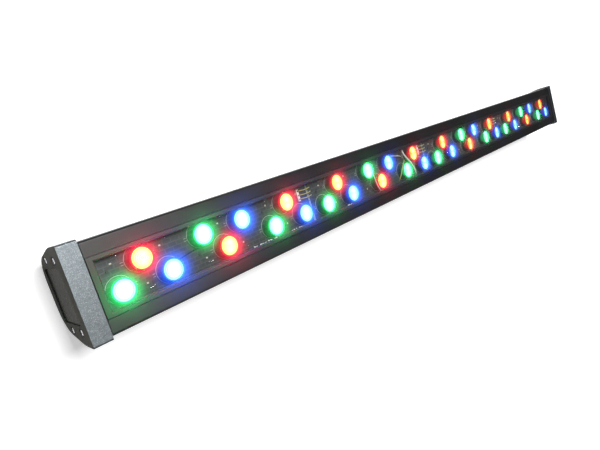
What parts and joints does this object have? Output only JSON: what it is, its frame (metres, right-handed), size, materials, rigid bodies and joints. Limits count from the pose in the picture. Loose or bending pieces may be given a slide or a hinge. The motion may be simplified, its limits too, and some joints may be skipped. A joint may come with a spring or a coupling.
{
  "type": "led strip batten",
  "caption": "Metre-long stage light bar: black D-section housing, clear recessed window over red, green and blue lights in staggered rows, screwed end caps, connectors on one end.",
  "frame": {"origin": "middle of the back plane that the end caps rest on", "axes": "+X along the bar towards the connector end, +Y across it, +Z out of the light side"},
  "size_m": [1.037, 0.0834, 0.0753],
  "materials": {
    "housing_paint": "satin black powder coat with a fine texture",
    "cap_paint": "fine sparkling grey sand-texture paint",
    "seal_rubber": "matt black silicone",
    "window_clear": "clear polished sheet",
    "lens_clear": "clear moulded optics",
    "circuit_board": "dark solder mask with white marks",
    "wire_cream": "soft wire insulation",
    "lead_grey": "grey cable sheath",
    "bare_aluminium": "bare sheet",
    "panel_black": "glossy dark panel",
    "socket_metal": "nickel-plated shell",
    "inlet_plastic": "blue moulded plastic",
    "display_dark": "dark red filter",
    "button_plastic": "moulded key cap",
    "screw_steel": "bright zinc"
  },
  "bodies": {
    "batten": {"housing_extrusion": "housing_paint", "end_cap_near": "cap_paint", "end_cap_far": "cap_paint", "end_gasket_near": "seal_rubber", "end_gasket_far": "seal_rubber", "window_bezel": "housing_paint", "window_seal": "seal_rubber", "window_pane": "window_clear", "cap_screw_near_1": "screw_steel", "cap_screw_near_2": "screw_steel", "cap_screw_near_3": "screw_steel", "cap_screw_near_4": "screw_steel", "cap_screw_far_1": "screw_steel", "cap_screw_far_2": "screw_steel", "cap_screw_far_3": "screw_steel", "cap_screw_far_4": "screw_steel", "blank_plate_near": "panel_black", "connector_plate_far": "panel_black", "led_board_1": "circuit_board", "led_board_2": "circuit_board", "led_board_3": "circuit_board", "led_board_4": "circuit_board", "lens_trio_01": "lens_clear", "lens_trio_02": "lens_clear", "lens_trio_03": "lens_clear", "lens_trio_04": "lens_clear", "lens_trio_05": "lens_clear", "lens_trio_06": "lens_clear", "lens_trio_07": "lens_clear", "lens_trio_08": "lens_clear", "lens_trio_09": "lens_clear", "lens_trio_10": "lens_clear", "lens_trio_11": "lens_clear", "lens_trio_12": "lens_clear", "feed_wire_1": "wire_cream", "feed_wire_2": "wire_cream", "feed_wire_3": "wire_cream", "feed_wire_4": "wire_cream", "board_link_1": "wire_cream", "board_link_2": "wire_cream", "board_link_3": "wire_cream", "electronics_tray": "bare_aluminium", "power_supply": "bare_aluminium", "driver_board": "circuit_board", "data_in_socket": "socket_metal", "data_out_socket": "panel_black", "power_inlet": "inlet_plastic", "control_board": "circuit_board", "display_module": "display_dark", "mains_lead": "lead_grey", "dc_lead": "lead_grey", "data_lead": "lead_grey", "control_lead": "lead_grey", "led_feed_lead": "wire_cream"},
    "data_out_latch": {"data_out_latch": "screw_steel"},
    "menu_button_1": {"menu_button_1": "button_plastic"},
    "menu_button_2": {"menu_button_2": "button_plastic"},
    "menu_button_3": {"menu_button_3": "button_plastic"},
    "menu_button_4": {"menu_button_4": "button_plastic"}
  },
  "joints": [
    {"name": "menu_button_1_press", "type": "slide", "parent": "batten", "child": "menu_button_1", "axis": [-1, 0, 0], "range_m": [0, 0.0008], "stiffness_N_per_m": 900},
    {"name": "menu_button_2_press", "type": "slide", "parent": "batten", "child": "menu_button_2", "axis": [-1, 0, 0], "range_m": [0, 0.0008], "stiffness_N_per_m": 900},
    {"name": "menu_button_3_press", "type": "slide", "parent": "batten", "child": "menu_button_3", "axis": [-1, 0, 0], "range_m": [0, 0.0008], "stiffness_N_per_m": 900},
    {"name": "menu_button_4_press", "type": "slide", "parent": "batten", "child": "menu_button_4", "axis": [-1, 0, 0], "range_m": [0, 0.0008], "stiffness_N_per_m": 900},
    {"name": "data_out_latch_press", "type": "slide", "parent": "batten", "child": "data_out_latch", "axis": [-1, 0, 0], "range_m": [0, 0.0012], "stiffness_N_per_m": 900}
  ]
}
